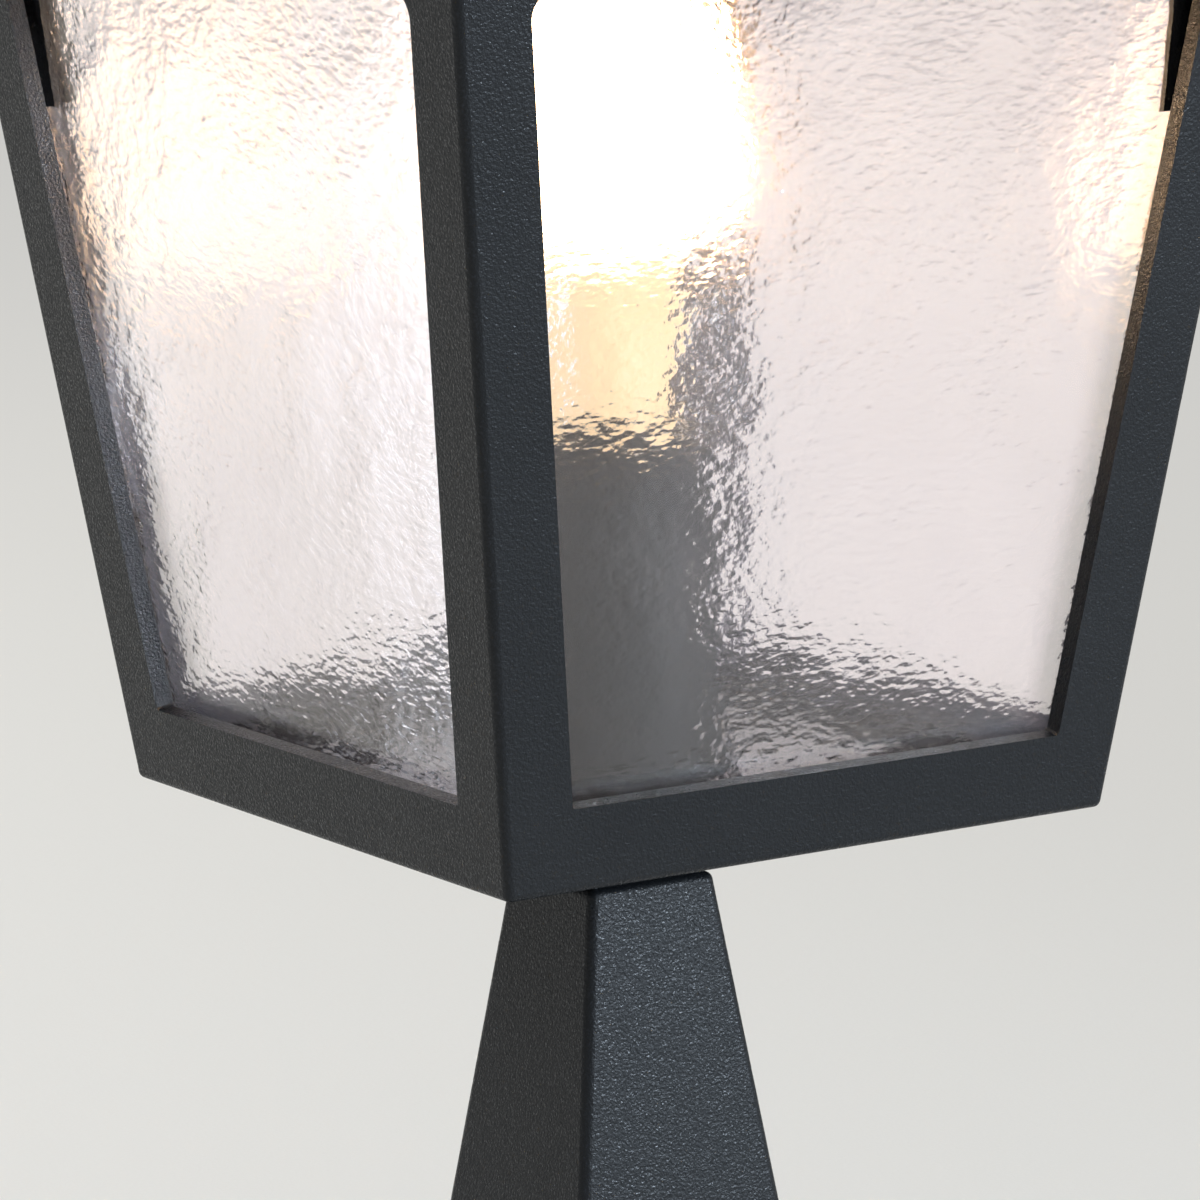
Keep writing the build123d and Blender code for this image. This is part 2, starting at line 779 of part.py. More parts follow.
with BuildPart() as holder_sleeve:
    with BuildSketch(Plane.XY.offset(tray_top)):
        Circle(sleeve_radius)
        Circle(sleeve_radius - sleeve_wall, mode=Mode.SUBTRACT)
    extrude(amount=sleeve_height)
    chamfer(holder_sleeve.faces().sort_by(Axis.Z)[-1].outer_wire().edges(), sleeve_edge)
finish(holder_sleeve, "holder_sleeve")

cup_top = cup_bottom + holder_cup_height
holder_top = sleeve_top - holder_rim_drop
bore_bottom = holder_top - holder_bore_depth

with BuildPart() as holder_cup:
    with BuildSketch(Plane.XZ):
        with BuildLine():
            cup_hole = stem_radius + running_clearance
            cup_inner = holder_radius - holder_cup_wall
            cup_bend = cup_bottom + holder_cup_bend
            cup_floor_top = cup_bottom + holder_cup_floor
            Line((cup_hole, cup_bottom), (holder_cup_floor_radius, cup_bottom))
            ThreePointArc(
                (holder_cup_floor_radius, cup_bottom),
                (cup_inner, cup_bottom + holder_cup_bend * 0.4),
                (holder_radius, cup_bend),
            )
            Polyline(
                (holder_radius, cup_bend),
                (holder_radius, cup_top),
                (cup_inner, cup_top),
                (cup_inner, cup_bend),
                (holder_cup_floor_radius - 1, cup_floor_top),
                (cup_hole, cup_floor_top),
                (cup_hole, cup_bottom),
            )
        make_face()
    revolve(axis=Axis.Z)
finish(holder_cup, "holder_cup")

with BuildPart() as holder_body:
    with BuildSketch(Plane.XY.offset(cup_top)):
        Circle(holder_radius)
    extrude(amount=holder_top - cup_top)
    with BuildSketch(Plane.XY.offset(bore_bottom)):
        Circle(holder_bore_radius)
    extrude(amount=holder_bore_depth, mode=Mode.SUBTRACT)
    with BuildSketch(Plane.XY.offset(cup_top)):
        with GridLocations(holder_wire_pitch, 0, 2, 1):
            Circle(holder_wire_radius)
    extrude(amount=bore_bottom - cup_top, mode=Mode.SUBTRACT)
finish(holder_body, "holder_body")

# The centre strip and the side strip, on the floor of the holder's bore, just short of the cap.
bulb_cap_bottom = sleeve_top - bulb_cap_length
contact_bottom = bulb_cap_bottom - bulb_insulator_length - bulb_contact_length
side_contact_x = holder_bore_radius - holder_side_contact - contact_gap
with BuildPart() as holder_contacts:
    with BuildSketch(Plane.XY.offset(bore_bottom)):
        with Locations((-holder_centre_contact / 4, 0)):
            Rectangle(holder_centre_contact, holder_contact_width)
        with Locations((side_contact_x, 0)):
            Rectangle(holder_side_contact, holder_contact_width)
    extrude(amount=contact_bottom - contact_gap - bore_bottom)
finish(holder_contacts, "holder_contacts")

with BuildPart() as lead_wires:
    with BuildSketch(Plane.XY.offset(stem_bottom - wire_tail)):
        with GridLocations(wire_pitch, 0, 2, 1):
            Circle(wire_radius)
    extrude(amount=cup_top - stem_bottom + wire_tail)
finish(lead_wires, "lead_wires")

# ---------------------------------------------------------------- bulb

bulb_base = sleeve_top


def bulb_solid(shell):
    """The lamp's outline, widest low down and tapering to a round top, thinned by a shell."""
    neck = bulb_neck_radius - shell
    neck_top = bulb_base + bulb_neck_height
    widest = (bulb_radius - shell, bulb_base + bulb_widest_rise)
    taper = (bulb_taper_radius - shell, bulb_base + bulb_taper_rise)
    top = (0, bulb_base + bulb_height - shell)
    with BuildPart() as pear:
        with BuildSketch(Plane.XZ):
            with BuildLine():
                Polyline(
                    top,
                    (0, bulb_base),
                    (neck - bulb_neck_step, bulb_base),
                    (neck, neck_top),
                )
                Spline((neck, neck_top), widest, tangents=((0, 1), (0, 1)))
                Spline(widest, taper, top, tangents=((0, 1), (-1, 0)))
            make_face()
        revolve(axis=Axis.Z)
    return pear.part


bulb_outer = bulb_solid(0)
bulb_inner = bulb_solid(bulb_wall)
with BuildPart() as bulb_glass:
    add(bulb_outer)
    add(bulb_inner, mode=Mode.SUBTRACT)
finish(bulb_glass, "bulb_glass")

with BuildPart() as bulb_cap:
    with BuildSketch(Plane.XY.offset(bulb_cap_bottom)):
        Circle(bulb_cap_radius)
        Circle(bulb_cap_radius - bulb_cap_wall, mode=Mode.SUBTRACT)
    extrude(amount=bulb_cap_length)
    for turn in range(4):
        with BuildSketch(Plane.XY.offset(bulb_cap_bottom + thread_pitch * (turn + 0.5))):
            Circle(bulb_cap_radius + thread_depth)
            Circle(bulb_cap_radius - thread_depth, mode=Mode.SUBTRACT)
        extrude(amount=thread_groove, mode=Mode.SUBTRACT)
finish(bulb_cap, "bulb_cap")

with BuildPart() as bulb_insulator:
    with BuildSketch(Plane.XY.offset(bulb_cap_bottom)):
        Circle(bulb_cap_radius - bulb_cap_wall)
    with BuildSketch(Plane.XY.offset(bulb_cap_bottom - bulb_insulator_length)):
        Circle(bulb_insulator_radius)
    loft()
finish(bulb_insulator, "bulb_insulator")

with BuildPart() as bulb_contact:
    with BuildSketch(Plane.XY.offset(contact_bottom)):
        Circle(bulb_contact_radius)
    extrude(amount=bulb_contact_length)
    fillet(bulb_contact.faces().sort_by(Axis.Z)[0].edges(), bulb_contact_edge)
finish(bulb_contact, "bulb_contact")

with BuildPart() as filament_mount:
    with BuildSketch(Plane.XY.offset(bulb_cap_bottom)):
        Circle(filament_foot_radius)
    extrude(amount=bulb_cap_length - filament_foot_gap)
    with BuildSketch(Plane.XY.offset(bulb_base - filament_foot_gap)):
        Circle(filament_stem_radius)
    extrude(amount=filament_foot_gap + filament_bottom)
    with BuildSketch(Plane.XY.offset(bulb_base + filament_bottom)):
        Circle(filament_disc_radius)
    extrude(amount=filament_disc)
finish(filament_mount, "filament_mount")

with BuildPart() as filaments:
    with BuildSketch(Plane.XY.offset(bulb_base + filament_bottom + filament_disc)):
        with PolarLocations(filament_circle, 4):
            Circle(filament_radius)
    extrude(amount=filament_length)
finish(filaments, "filaments")

# ---------------------------------------------------------------- top rail and hinge


def hinge_lug(half_from, half_to, root_y, z_low, z_high):
    """Two lugs, one each side, that reach back to the hinge axis and end in a knuckle."""
    with BuildPart() as lug:
        for side in (-1, 1):
            middle = side * (half_from + half_to) / 2
            width = half_to - half_from
            with BuildSketch(Plane.YZ.offset(middle)):
                with Locations((hinge_y, hinge_z)):
                    Circle(hinge_knuckle_radius)
                with Locations(((root_y + hinge_y) / 2, (z_low + z_high) / 2)):
                    Rectangle(hinge_y - root_y, z_high - z_low)
            extrude(amount=width / 2, both=True)
    return lug.part


rail_ring = square_ring(rail_half, rail_opening_half, cage_top, rail_thickness)
upstand_ring = square_ring(upstand_half, upstand_half - upstand_wall, rail_top, upstand_height)
rail_lugs = hinge_lug(
    hinge_inner_half + hinge_side_gap,
    hinge_outer_half,
    rail_half - hinge_lug_root,
    hinge_z - hinge_knuckle_radius,
    rail_top - hinge_lug_drop,
)

with BuildPart() as top_rail:
    add(rail_ring)
    fillet(top_rail.edges().filter_by(Axis.Z).group_by(SortBy.DISTANCE)[-1], rail_corner)
    chamfer(top_rail.faces().sort_by(Axis.Z)[0].outer_wire().edges(), rail_chamfer)
    add(upstand_ring)
    add(rail_lugs)
    with BuildSketch(Plane.YZ.offset(-2 * hinge_outer_half)):
        with Locations((hinge_y, hinge_z)):
            Circle(hinge_pin_radius + running_clearance / 2)
    extrude(amount=4 * hinge_outer_half, mode=Mode.SUBTRACT)
    with Locations(Plane.XY.offset(rail_top)):
        with GridLocations(2 * rail_screw_half_pitch, 2 * rail_screw_half_pitch, 2, 2):
            CounterSinkHole(boss_screw_radius + screw_clearance, rail_screw_head_radius + thread_gap)
finish(top_rail, "top_rail")

rail_screw_head = rail_screw_head_radius - boss_screw_radius
with BuildPart() as top_rail_screws:
    with GridLocations(2 * rail_screw_half_pitch, 2 * rail_screw_half_pitch, 2, 2):
        with Locations((0, 0, rail_top - rail_screw_head / 2)):
            Cone(boss_screw_radius, rail_screw_head_radius, rail_screw_head)
        with Locations((0, 0, rail_top - rail_screw_head)):
            Cylinder(
                boss_screw_radius,
                rail_thickness - rail_screw_head + rail_screw_bite,
                align=(Align.CENTER, Align.CENTER, Align.MAX),
            )
finish(top_rail_screws, "top_rail_screws")

roof_seal_inner_half = upstand_half + seal_gap
roof_seal_outer_half = roof_seal_inner_half + roof_seal_width
with BuildPart() as roof_seal:
    add(square_ring(roof_seal_outer_half, roof_seal_inner_half, rail_top, roof_seal_thickness))
finish(roof_seal, "roof_seal")

with BuildPart() as hinge_pin:
    with BuildSketch(Plane.YZ):
        with Locations((hinge_y, hinge_z)):
            Circle(hinge_pin_radius)
    extrude(amount=hinge_outer_half + hinge_pin_end, both=True)
    for head_x in (-hinge_outer_half - hinge_pin_end, hinge_outer_half):
        with BuildSketch(Plane.YZ.offset(head_x)):
            with Locations((hinge_y, hinge_z)):
                Circle(hinge_pin_radius + hinge_pin_head)
        extrude(amount=hinge_pin_end)
finish(hinge_pin, "hinge_pin")

# ---------------------------------------------------------------- roof

roof_outline = [
    (0, roof_bottom),
    (roof_half, roof_bottom),
    (roof_half, roof_bottom + roof_skirt),
    (roof_half - roof_eave_setback, roof_eave),
    (roof_crown_half, crown_bottom, roof_sag),
    (roof_crown_half, crown_top),
    (0, crown_top),
]
skirt_inner_half = roof_half - roof_skirt_wall
ledge_z = upstand_top + upstand_gap + reflector_thickness
hollow_outline = [
    (0, roof_bottom),
    (skirt_inner_half, roof_bottom),
    (skirt_inner_half, ledge_z),
    (skirt_inner_half - roof_ledge, ledge_z),
    (roof_crown_half - roof_wall, crown_bottom - roof_wall / 2, roof_sag),
    (roof_crown_half - roof_wall, crown_top - roof_wall),
    (0, crown_top - roof_wall),
]
roof_block = mitred(roof_outline, roof_half)
roof_hollow = mitred(hollow_outline, roof_half)
thumb_z = (roof_bottom + upstand_top) / 2
rivet_pitch_radius = skirt_inner_half - roof_ledge / 2

with BuildPart() as roof:
    add(roof_block)
    fillet(roof.edges().filter_by(on_a_corner), roof_hip)
    add(roof_hollow, mode=Mode.SUBTRACT)
    with BuildSketch(Plane.YZ.offset(-hinge_inner_half)):
        with Locations((hinge_y, hinge_z)):
            Circle(hinge_knuckle_radius)
        with BuildLine():
            Polyline(
                (roof_half - 1, roof_bottom),
                (hinge_y - hinge_knuckle_radius, hinge_z),
                (hinge_y + 0.6 * hinge_knuckle_radius, hinge_z + 0.8 * hinge_knuckle_radius),
                (roof_half - 1, roof_bottom + roof_skirt),
                close=True,
            )
        make_face()
    extrude(amount=2 * hinge_inner_half)
    with BuildSketch(Plane.YZ.offset(-2 * hinge_inner_half)):
        with Locations((hinge_y, hinge_z)):
            Circle(hinge_pin_radius + running_clearance)
    extrude(amount=4 * hinge_inner_half, mode=Mode.SUBTRACT)
    with BuildSketch(Plane.XZ.offset(roof_half - 2 * roof_skirt_wall)):
        with Locations((-thumb_spacing / 2, thumb_z), (thumb_spacing / 2, thumb_z)):
            Circle(thumb_shank_radius + running_clearance)
    extrude(amount=3 * roof_skirt_wall, mode=Mode.SUBTRACT)
    with BuildSketch(Plane.XY.offset(ledge_z)):
        with PolarLocations(rivet_pitch_radius, 4):
            Circle(rivet_radius)
    extrude(amount=rivet_bite, mode=Mode.SUBTRACT)
    with BuildSketch(Plane.XY.offset(crown_top - roof_wall)):
        Circle(finial_stud_radius + running_clearance)
        with PolarLocations(crown_vent_circle, 4):
            Circle(crown_vent_radius)
    extrude(amount=roof_wall, mode=Mode.SUBTRACT)
finish(roof, "roof")

reflector_half = skirt_inner_half - reflector_gap
with BuildPart() as reflector:
    with BuildSketch(Plane.XY.offset(ledge_z - reflector_thickness)):
        Rectangle(2 * reflector_half, 2 * reflector_half)
        with PolarLocations(rivet_pitch_radius, 4):
            Circle(rivet_radius, mode=Mode.SUBTRACT)
        with PolarLocations(reflector_vent_circle, 12):
            Circle(reflector_vent_radius, mode=Mode.SUBTRACT)
    extrude(amount=reflector_thickness)
finish(reflector, "reflector")

with BuildPart() as reflector_rivets:
    with BuildSketch(Plane.XY.offset(ledge_z - reflector_thickness)):
        with PolarLocations(rivet_pitch_radius, 4):
            Circle(rivet_radius - running_clearance)
    extrude(amount=reflector_thickness + rivet_bite - seal_gap)
finish(reflector_rivets, "reflector_rivets")

cap_slope_bottom = cap_bottom + vent_cap_edge
cap_slope_top = cap_slope_bottom + vent_cap_rise
cap_block = mitred(
    [
        (0, cap_bottom),
        (vent_cap_half, cap_bottom),
        (vent_cap_half, cap_slope_bottom),
        (vent_cap_neck_half, cap_slope_top, vent_cap_sag),
        (vent_cap_neck_half, cap_top),
        (0, cap_top),
    ],
    vent_cap_half,
)
cap_hollow = square_frustum(
    vent_cap_half - vent_cap_wall, vent_cap_neck_half, cap_bottom, cap_slope_bottom + vent_cap_hollow
)
leg_offset = roof_crown_half - vent_leg / 2 - 1

with BuildPart() as vent_cap:
    add(cap_block)
    add(cap_hollow, mode=Mode.SUBTRACT)
    with BuildSketch(Plane.XY.offset(crown_top)):
        with GridLocations(2 * leg_offset, 2 * leg_offset, 2, 2):
            RectangleRounded(vent_leg, vent_leg, 1)
    extrude(amount=vent_gap + 5)
    with BuildSketch(Plane.XY.offset(cap_bottom)):
        Circle(finial_stud_radius + running_clearance)
    extrude(amount=cap_top - cap_bottom, mode=Mode.SUBTRACT)
finish(vent_cap, "vent_cap")

ball_centre = cap_top + finial_rise + finial_ball_radius
neck_angle = 0.45
with BuildPart() as finial:
    with BuildSketch(Plane.XZ):
        with BuildLine():
            reach = finial_ball_radius * sin(neck_angle)
            level = finial_ball_radius * cos(neck_angle)
            finial_top = ball_centre + level + finial_spike
            Line((0, cap_top), (finial_base_radius, cap_top))
            Line((finial_base_radius, cap_top), (finial_base_radius, cap_top + finial_base))
            ThreePointArc(
                (finial_base_radius, cap_top + finial_base),
                (finial_neck_radius, cap_top + 1.6 * finial_base),
                (reach, ball_centre - level),
            )
            ThreePointArc(
                (reach, ball_centre - level),
                (finial_ball_radius, ball_centre),
                (reach, ball_centre + level),
            )
            ThreePointArc(
                (reach, ball_centre + level),
                (reach * 0.42, ball_centre + level + finial_spike * 0.36),
                (finial_tip_radius, finial_top),
            )
            Line((finial_tip_radius, finial_top), (0, finial_top))
            Line((0, finial_top), (0, cap_top))
        make_face()
    revolve(axis=Axis.Z)
    with BuildSketch(Plane.XY.offset(cap_top)):
        Circle(finial_stud_radius + running_clearance)
    extrude(amount=finial_stud_bite + screw_end_gap, mode=Mode.SUBTRACT)
finish(finial, "finial")

crown_underside = crown_top - roof_wall
with BuildPart() as finial_stud:
    with BuildSketch(Plane.XY.offset(crown_underside - finial_stud_tail)):
        Circle(finial_stud_radius)
    extrude(amount=cap_top + finial_stud_bite - crown_underside + finial_stud_tail)
finish(finial_stud, "finial_stud")

with BuildPart() as finial_nut:
    with BuildSketch(Plane.XY.offset(crown_underside - finial_nut_height)):
        RegularPolygon(finial_nut_radius, 6, major_radius=False)
        Circle(finial_stud_radius + running_clearance, mode=Mode.SUBTRACT)
    extrude(amount=finial_nut_height)
finish(finial_nut, "finial_nut")

# ---------------------------------------------------------------- thumb screws

thumb_head_inner = roof_half + thumb_face_gap
for side, name in ((-1, "thumb_screw_left"), (1, "thumb_screw_right")):
    with BuildPart() as thumb_screw:
        with BuildSketch(Plane.XZ.offset(thumb_head_inner)):
            with Locations((side * thumb_spacing / 2, thumb_z)):
                Circle(thumb_radius)
                with PolarLocations(thumb_radius + thumb_flute_offset, thumb_flutes):
                    Circle(thumb_flute_radius, mode=Mode.SUBTRACT)
        extrude(amount=thumb_length)
        with BuildSketch(Plane.XZ.offset(upstand_half + thumb_tip_gap)):
            with Locations((side * thumb_spacing / 2, thumb_z)):
                Circle(thumb_shank_radius)
        extrude(amount=thumb_head_inner - upstand_half - thumb_tip_gap)
    finish(thumb_screw, name)
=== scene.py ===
from math import cos, hypot, pi, radians, sin

import bpy
import numpy as np
from mathutils import Matrix, Vector


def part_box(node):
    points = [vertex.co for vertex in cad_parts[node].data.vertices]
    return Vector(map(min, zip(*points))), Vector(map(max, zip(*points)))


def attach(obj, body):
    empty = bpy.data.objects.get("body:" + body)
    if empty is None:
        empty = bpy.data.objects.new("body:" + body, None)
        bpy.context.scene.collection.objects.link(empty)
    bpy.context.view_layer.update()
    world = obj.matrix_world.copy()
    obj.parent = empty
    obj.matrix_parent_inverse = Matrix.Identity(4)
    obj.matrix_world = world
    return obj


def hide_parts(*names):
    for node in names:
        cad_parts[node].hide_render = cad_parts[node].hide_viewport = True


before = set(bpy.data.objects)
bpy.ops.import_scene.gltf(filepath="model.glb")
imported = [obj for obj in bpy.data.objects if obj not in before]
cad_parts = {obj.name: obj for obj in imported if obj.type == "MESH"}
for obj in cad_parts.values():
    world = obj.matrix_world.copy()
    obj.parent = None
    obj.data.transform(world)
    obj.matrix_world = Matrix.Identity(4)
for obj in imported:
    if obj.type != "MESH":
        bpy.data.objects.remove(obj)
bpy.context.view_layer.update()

# ---------------------------------------------------------------- camera
# A long lens a little above the cage's foot, looking in past the front left corner. Azimuth turns from -Y
# towards +X, and the aim is a point near the axis, in the lower part of the glazing.
camera_azimuth = radians(-33.82)
camera_elevation = radians(9.88)
camera_roll = radians(-0.61)
camera_distance = 0.951
camera_aim_height = 0.0376
camera_aim_side = -0.0017
camera_lens = 148.92
sensor_width = 36.0

cage_low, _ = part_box("cage")
towards_camera = Vector(
    (
        sin(camera_azimuth) * cos(camera_elevation),
        -cos(camera_azimuth) * cos(camera_elevation),
        sin(camera_elevation),
    )
)
level_right = Vector((cos(camera_azimuth), sin(camera_azimuth), 0))
level_up = towards_camera.cross(level_right)
right = level_right * cos(camera_roll) + level_up * sin(camera_roll)
up = level_up * cos(camera_roll) - level_right * sin(camera_roll)
aim = Vector((0, 0, cage_low.z + camera_aim_height)) + level_right * camera_aim_side

camera_data = bpy.data.cameras.new("camera")
camera_data.sensor_width = sensor_width
camera_data.lens = camera_lens
camera_data.clip_start = 0.02
camera_data.clip_end = 60.0
camera = bpy.data.objects.new("camera", camera_data)
turn = Matrix((right, up, towards_camera)).transposed().to_4x4()
camera.matrix_world = Matrix.Translation(aim + towards_camera * camera_distance) @ turn
bpy.context.scene.collection.objects.link(camera)
bpy.context.scene.camera = camera

# ---------------------------------------------------------------- floor and light
# A wide pale paper floor under a sky that is dimmer near the horizon than overhead. One low panel at the
# right lights the pedestal's front, and one at the left hangs over the floor that the cage's side mirrors.
bpy.context.scene.view_settings.view_transform = "Standard"
floor_half = 20.0
sky_colour = (0.93, 0.94, 0.96)
horizon_strength = 0.26
zenith_strength = 0.92
full_sky_slope = 0.7

world = bpy.data.worlds.new("pale_sky")
world.use_nodes = True
sky_nodes = world.node_tree.nodes
sky_links = world.node_tree.links
direction = sky_nodes.new("ShaderNodeTexCoord")
height_of_ray = sky_nodes.new("ShaderNodeSeparateXYZ")
sky_links.new(direction.outputs["Generated"], height_of_ray.inputs["Vector"])
sky_fade = sky_nodes.new("ShaderNodeMapRange")
sky_fade.inputs["From Max"].default_value = full_sky_slope
sky_fade.inputs["To Min"].default_value = horizon_strength
sky_fade.inputs["To Max"].default_value = zenith_strength
sky_links.new(height_of_ray.outputs["Z"], sky_fade.inputs["Value"])
sky_nodes["Background"].inputs["Color"].default_value = (*sky_colour, 1)
sky_links.new(sky_fade.outputs["Result"], sky_nodes["Background"].inputs["Strength"])
bpy.context.scene.world = world


def new_material(name):
    """A node material, with its nodes, its links and its Principled surface."""
    material = bpy.data.materials.new(name)
    material.use_nodes = True
    nodes = material.node_tree.nodes
    return material, nodes, material.node_tree.links, nodes["Principled BSDF"]


def object_noise(nodes, links, scale, detail=2.0, roughness=0.5, stretch=(1, 1, 1)):
    """Noise over the object's own coordinates in metres; scale is waves per metre."""
    place = nodes.new("ShaderNodeTexCoord")
    mapping = nodes.new("ShaderNodeMapping")
    mapping.inputs["Scale"].default_value = stretch
    noise = nodes.new("ShaderNodeTexNoise")
    noise.inputs["Scale"].default_value = scale
    noise.inputs["Detail"].default_value = detail
    noise.inputs["Roughness"].default_value = roughness
    links.new(place.outputs["Object"], mapping.inputs["Vector"])
    links.new(mapping.outputs["Vector"], noise.inputs["Vector"])
    return noise.outputs["Fac"]


def spread(nodes, links, source, low, high, start=0.35, end=0.65):
    """A noise's middle range stretched to run between two numbers."""
    reach = nodes.new("ShaderNodeMapRange")
    reach.inputs["From Min"].default_value = start
    reach.inputs["From Max"].default_value = end
    reach.inputs["To Min"].default_value = low
    reach.inputs["To Max"].default_value = high
    links.new(source, reach.inputs["Value"])
    return reach.outputs["Result"]


def two_colours(nodes, links, source, dark, light, start=0.35, end=0.65):
    """A colour that runs from dark to light over a noise's middle range."""
    ramp = nodes.new("ShaderNodeValToRGB")
    ramp.color_ramp.elements[0].position = start
    ramp.color_ramp.elements[0].color = (*dark, 1)
    ramp.color_ramp.elements[1].position = end
    ramp.color_ramp.elements[1].color = (*light, 1)
    links.new(source, ramp.inputs["Fac"])
    return ramp.outputs["Color"]


def relief(nodes, links, source, height, strength=1.0, below=None):
    """A bump of a height in metres, laid over the bump below it."""
    bump = nodes.new("ShaderNodeBump")
    bump.inputs["Distance"].default_value = height
    bump.inputs["Strength"].default_value = strength
    links.new(source, bump.inputs["Height"])
    if below is not None:
        links.new(below, bump.inputs["Normal"])
    return bump.outputs["Normal"]


def mottle(nodes, links, surface, source, dark, light):
    """A surface's own colour, from dark to light over a noise's middle range."""
    links.new(two_colours(nodes, links, source, dark, light), surface.inputs["Base Color"])


def emboss(nodes, links, surface, source, height, strength=1.0, below=None):
    """A bump of a height in metres on a surface, laid over the bump below it."""
    links.new(relief(nodes, links, source, height, strength, below), surface.inputs["Normal"])


paper, nodes, links, surface = new_material("floor_paper")
grain = object_noise(nodes, links, scale=900, detail=3)
mottle(nodes, links, surface, grain, (0.770, 0.755, 0.710), (0.780, 0.765, 0.720))
emboss(nodes, links, surface, grain, height=0.00003)
surface.inputs["Roughness"].default_value = 0.85

floor_mesh = bpy.data.meshes.new("floor")
floor_corners = [(x * floor_half, y * floor_half, 0) for x, y in ((-1, -1), (1, -1), (1, 1), (-1, 1))]
floor_mesh.from_pydata(floor_corners, [], [(0, 1, 2, 3)])
floor = bpy.data.objects.new("floor", floor_mesh)
floor.data.materials.append(paper)
bpy.context.scene.collection.objects.link(floor)


def studio_panel(name, place, target, size, power, colour, beam=pi):
    """A square soft light that faces a target, whose grid narrows its beam to an angle."""
    data = bpy.data.lights.new(name, "AREA")
    data.shape = "SQUARE"
    data.size = size
    data.energy = power
    data.color = colour
    data.spread = beam
    panel = bpy.data.objects.new(name, data)
    panel.location = place
    panel.rotation_mode = "QUATERNION"
    panel.rotation_quaternion = (Vector(target) - Vector(place)).to_track_quat("-Z", "Y")
    bpy.context.scene.collection.objects.link(panel)


studio_panel(
    "panel_right",
    place=(1.1, -1.65, 0.58),
    target=(0, 0, 0.25),
    size=0.35,
    power=2.5,
    colour=(0.74, 0.86, 1.0),
    beam=radians(50),
)
studio_panel(
    "panel_floor",
    place=(-1.0, 1.7, 1.3),
    target=(-1.0, 1.7, 0),
    size=1.2,
    power=16,
    colour=(1.0, 0.98, 0.95),
)

# ---------------------------------------------------------------- castings
# Pedestal, collar, cage, floor plate, rail, roof, vent cap and finial are die-cast aluminium, and the
# corner brackets are pressed steel. All are blasted and sprayed with a near-black polyester powder, which
# cures with a fine orange peel and tiny grains of lower roughness; small lighter specks added to the colour
# are painted glints.


def wear(node_names, material):
    """Gives CAD pieces a material in their own slots."""
    for node_name in node_names:
        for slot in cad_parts[node_name].material_slots:
            slot.material = material


powder_coat, nodes, links, surface = new_material("black_powder_coat")
cloud = object_noise(nodes, links, scale=28, detail=4)
peel = object_noise(nodes, links, scale=480, detail=1)
grains = object_noise(nodes, links, scale=1700, detail=1.5, roughness=0.6)
specks_and_painted_glints = object_noise(nodes, links, scale=2100, detail=1)
black_low, black_high = (0.0064, 0.0080, 0.0100), (0.0090, 0.0108, 0.0130)
base_tone = two_colours(nodes, links, cloud, black_low, black_high)
# Painted glints: small lighter specks added to the base colour; the same specks are also less rough.
painted_glint_tone = two_colours(nodes, links, specks_and_painted_glints, (0, 0, 0), (0.010, 0.011, 0.014), start=0.56, end=0.72)
tone = nodes.new("ShaderNodeMix")
tone.data_type = "RGBA"
tone.blend_type = "ADD"
tone.inputs["Factor"].default_value = 1.0
links.new(base_tone, tone.inputs["A"])
links.new(painted_glint_tone, tone.inputs["B"])
links.new(tone.outputs["Result"], surface.inputs["Base Color"])
dullness = spread(nodes, links, specks_and_painted_glints, low=0.50, high=0.24, start=0.42, end=0.66)
links.new(dullness, surface.inputs["Roughness"])
peel_bump = relief(nodes, links, peel, height=0.00006, strength=0.6)
emboss(nodes, links, surface, grains, height=0.00017, below=peel_bump)
surface.inputs["Specular IOR Level"].default_value = 0.24
coated_lower = ("pedestal", "neck_collar", "cage", "floor_plate", "pane_brackets")
coated_upper = ("top_rail", "roof", "vent_cap", "finial")
wear(coated_lower + coated_upper, powder_coat)

# ---------------------------------------------------------------- gasket and seals
# Closed-cell silicone sponge, die-cut from sheet: a flat gasket under the foot, a thin frame behind each
# window and a square ring under the roof's skirt.
sponge, nodes, links, surface = new_material("black_silicone")
cells = object_noise(nodes, links, scale=2600, detail=2, roughness=0.6)
mottle(nodes, links, surface, cells, (0.018, 0.018, 0.019), (0.030, 0.030, 0.031))
emboss(nodes, links, surface, cells, height=0.00008, strength=0.6)
surface.inputs["Roughness"].default_value = 0.75
wear(("base_gasket", "pane_seals", "roof_seal"), sponge)

# ---------------------------------------------------------------- plated hardware
# Pressed and turned steel parts with a bright zinc plate: the stem with its nuts and washers, the finial's
# stud and nut, the base plate, and the screws that hold it, the floor plate and the brackets. The plating
# has a faint cloudy spangle.
zinc, nodes, links, surface = new_material("zinc_plated_steel")
spangle = object_noise(nodes, links, scale=160, detail=3, roughness=0.55)
scratches = object_noise(nodes, links, scale=900, detail=2, stretch=(1, 1, 0.08))
mottle(nodes, links, surface, spangle, (0.50, 0.51, 0.53), (0.64, 0.65, 0.66))
links.new(spread(nodes, links, spangle, low=0.28, high=0.42), surface.inputs["Roughness"])
emboss(nodes, links, surface, scratches, height=0.00002, strength=0.4)
surface.inputs["Metallic"].default_value = 1.0
zinc_screws = ("base_plate_screws", "floor_plate_screws", "pane_bracket_screws")
zinc_nuts = ("stem_nuts", "stem_washers", "finial_nut")
wear(("base_plate", "stem_tube", "finial_stud") + zinc_screws + zinc_nuts, zinc)

# ---------------------------------------------------------------- glass panes
# Rolled glass, 3 mm thick: flat inside, and on the outside broad waves under short ripples that the
# patterned roller leaves. Each pane lies on its seal behind a window, and the cage leans outwards.
lean = 0.1345
slope = hypot(1, lean)
wall_and_seal = 0.0044
glass_thickness = 0.0030
window_stile = 0.0146
glass_lap = 0.0060
glass_low, glass_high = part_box("pane_front")
glass_columns = 170
glass_rows = 190
face_half = 0.067
glass_relief = 0.0006
glass_seed = 11

